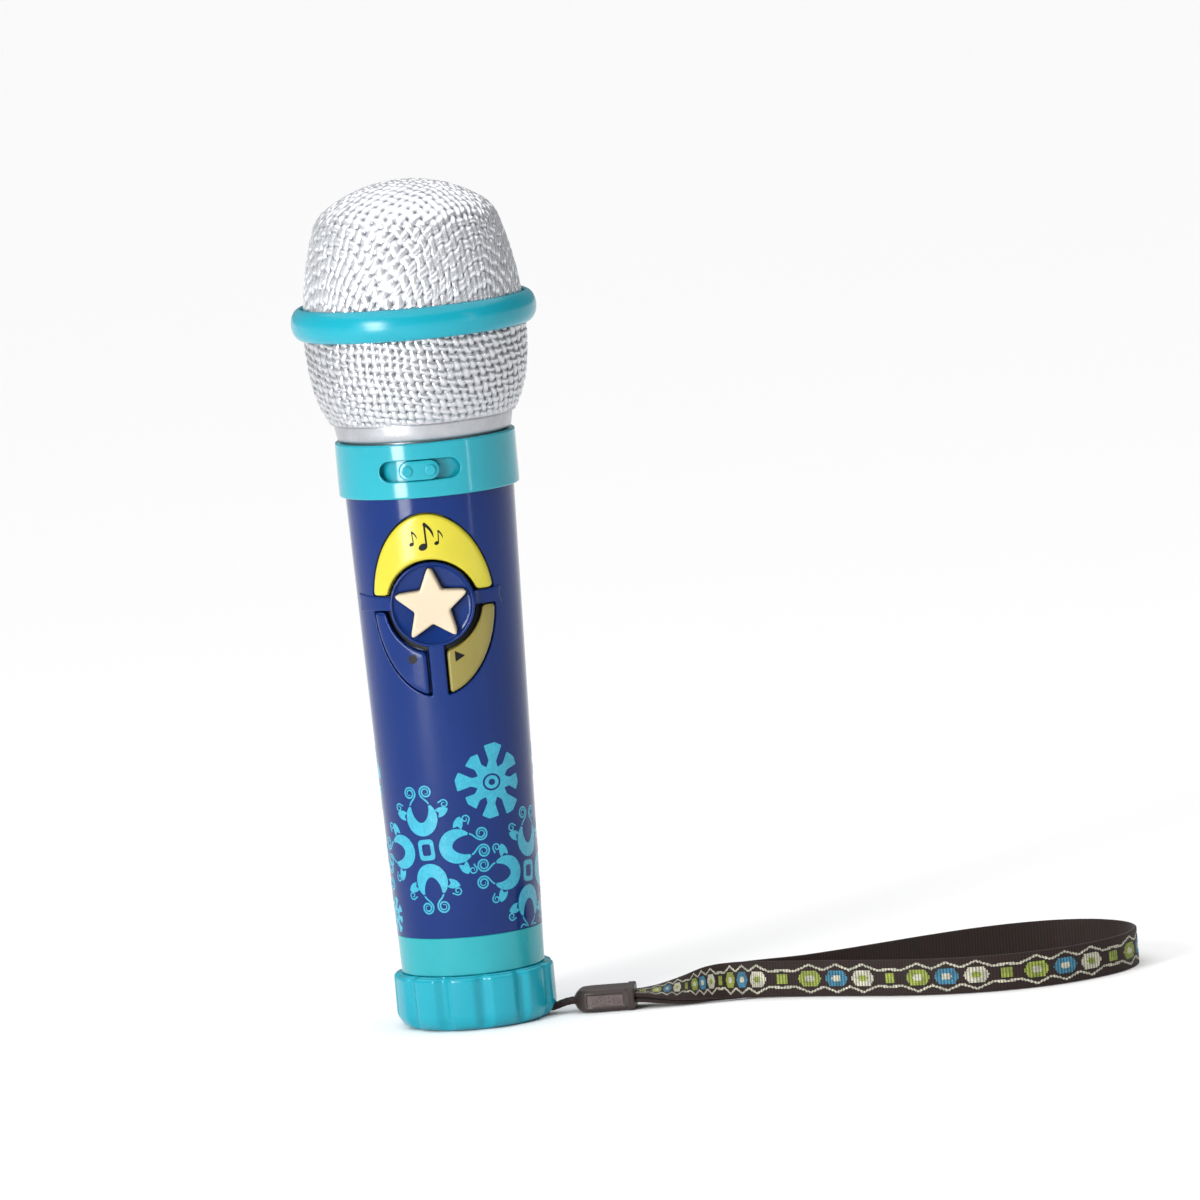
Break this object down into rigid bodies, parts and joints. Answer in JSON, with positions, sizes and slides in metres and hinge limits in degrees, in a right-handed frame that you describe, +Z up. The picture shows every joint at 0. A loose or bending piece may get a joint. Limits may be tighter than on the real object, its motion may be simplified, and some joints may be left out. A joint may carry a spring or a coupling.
{
  "type": "toy microphone",
  "caption": "Hand-held toy microphone with a woven-look head, play buttons, a sliding switch, a screw-off end cap and a looped wrist strap.",
  "frame": {"origin": "middle of the end cap's foot, where the toy stands on end", "axes": "+Z up the handle towards the head, buttons face -Y, strap leaves towards +X"},
  "size_m": [0.2164, 0.0692, 0.2333],
  "materials": {
    "teal_plastic": "glossy moulded teal ABS",
    "pale_teal_plastic": "glossy moulded pale teal ABS",
    "turquoise_plastic": "glossy moulded turquoise ABS",
    "blue_plastic": "glossy moulded blue ABS, printed in turquoise low on the handle",
    "silver_finish": "ABS with satin silver paint over a moulded basket weave",
    "yellow_plastic": "glossy lemon yellow ABS with black printed note symbols",
    "cream_plastic": "satin cream ABS",
    "olive_plastic": "glossy olive ABS",
    "brown_string": "braided polyester string",
    "woven_band": "ribbed polyester webbing, pattern woven on its outer face",
    "brown_plastic": "satin dark brown plastic",
    "black_rubber": "matte rubber",
    "grey_silicone": "satin silicone",
    "screw_steel": "zinc plated steel",
    "spring_steel": "nickel plated steel",
    "board_green": "green solder mask",
    "black_plastic": "satin black ABS",
    "capacitor_sleeve": "shrunk sleeve",
    "battery_sleeve": "printed cell jacket",
    "wire_sleeve": "PVC insulation",
    "speaker_steel": "stamped steel basket",
    "magnet_ferrite": "ferrite magnet",
    "speaker_paper": "treated paper cone",
    "capsule_aluminium": "turned aluminium can"
  },
  "bodies": {
    "cap": {"end_cap": "teal_plastic", "strap_cord": "brown_string", "strap_ferrule": "brown_plastic", "strap_webbing": "woven_band"},
    "seal": {"seal_ring": "black_rubber"},
    "handle": {"tail_ring": "pale_teal_plastic", "body_front": "blue_plastic", "body_rear": "blue_plastic", "body_screws": "screw_steel", "collar": "turquoise_plastic", "slide_switch": "screw_steel", "switch_board": "board_green", "keypad": "grey_silicone", "circuit_board": "board_green", "board_screws": "screw_steel", "sound_chip": "black_plastic", "capacitor": "capacitor_sleeve", "battery_holder": "black_plastic", "battery_1": "battery_sleeve", "battery_2": "battery_sleeve", "battery_3": "battery_sleeve", "battery_springs": "spring_steel", "battery_plates": "spring_steel", "battery_wires": "wire_sleeve", "grille_bowl": "silver_finish", "grille_dome": "silver_finish", "head_ring": "teal_plastic", "speaker_bracket": "black_plastic", "bracket_screws": "screw_steel", "speaker_frame": "speaker_steel", "speaker_magnet": "magnet_ferrite", "speaker_cone": "speaker_paper", "speaker_wires": "wire_sleeve", "mic_capsule": "capsule_aluminium", "mic_boot": "black_rubber", "mic_wires": "wire_sleeve"},
    "music_button": {"music_button": "yellow_plastic"},
    "star_button": {"star_button": "cream_plastic"},
    "record_button": {"record_button": "blue_plastic"},
    "play_button": {"play_button": "olive_plastic"},
    "switch_knob": {"switch_knob": "turquoise_plastic"}
  },
  "joints": [
    {"name": "cap_lift", "type": "slide", "parent": "cap", "child": "seal", "axis": [0, 0, 1], "range_m": [0, 0.007]},
    {"name": "cap_turn", "type": "hinge", "parent": "seal", "child": "handle", "pos_m": [0, 0, 0.0141], "axis": [0, 0, 1], "range_deg": [0, 720]},
    {"name": "switch_slide", "type": "hinge", "parent": "handle", "child": "switch_knob", "pos_m": [0, 0, 0.1555], "axis": [0, 0, 1], "range_deg": [-12.8, 12.8]},
    {"name": "music_press", "type": "slide", "parent": "handle", "child": "music_button", "axis": [0, 1, 0], "range_m": [0, 0.0012], "stiffness_N_per_m": 700},
    {"name": "star_press", "type": "slide", "parent": "handle", "child": "star_button", "axis": [0, 1, 0], "range_m": [0, 0.0012], "stiffness_N_per_m": 700},
    {"name": "record_press", "type": "slide", "parent": "handle", "child": "record_button", "axis": [0, 1, 0], "range_m": [0, 0.0012], "stiffness_N_per_m": 700},
    {"name": "play_press", "type": "slide", "parent": "handle", "child": "play_button", "axis": [0, 1, 0], "range_m": [0, 0.0012], "stiffness_N_per_m": 700}
  ],
  "couplings": [
    {"joint": "cap_lift", "follows": "cap_turn", "m_per_rad": 0.00055704}
  ]
}
